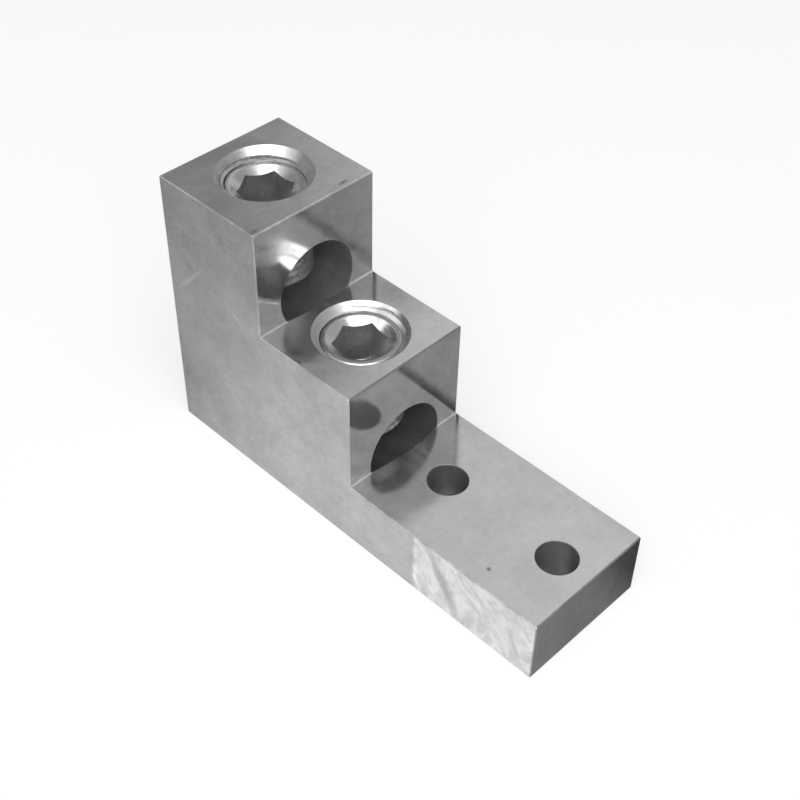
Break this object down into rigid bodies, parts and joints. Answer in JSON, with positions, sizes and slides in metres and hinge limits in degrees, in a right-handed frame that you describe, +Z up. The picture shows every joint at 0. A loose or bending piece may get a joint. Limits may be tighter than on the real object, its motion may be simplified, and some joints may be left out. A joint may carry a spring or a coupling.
{
  "type": "dual conductor lug",
  "caption": "Stepped metal terminal lug: a bolt-down pad and stacked wire bores, each clamped by a hexagon socket set screw.",
  "frame": {"origin": "middle of the flat base, under the middle of the overall box", "axes": "+X along the pad, away from the tall end; +Y across the width; +Z up, from the base to the top face"},
  "size_m": [0.125, 0.0382, 0.0777],
  "materials": {
    "plated_block": "bright tin plate over sawn and milled faces, with fine streaks",
    "plated_screw": "bright tin plate over turned faces"
  },
  "bodies": {
    "block": {"lug_body": "plated_block"},
    "upper_screw": {"upper_set_screw": "plated_screw"},
    "lower_screw": {"lower_set_screw": "plated_screw"}
  },
  "joints": [
    {"name": "upper_screw_travel", "type": "slide", "parent": "block", "child": "upper_screw", "axis": [0, 0, 1], "range_m": [-0.0012, 0.01814]},
    {"name": "lower_screw_travel", "type": "slide", "parent": "block", "child": "lower_screw", "axis": [0, 0, 1], "range_m": [-0.006, 0.0127]}
  ]
}
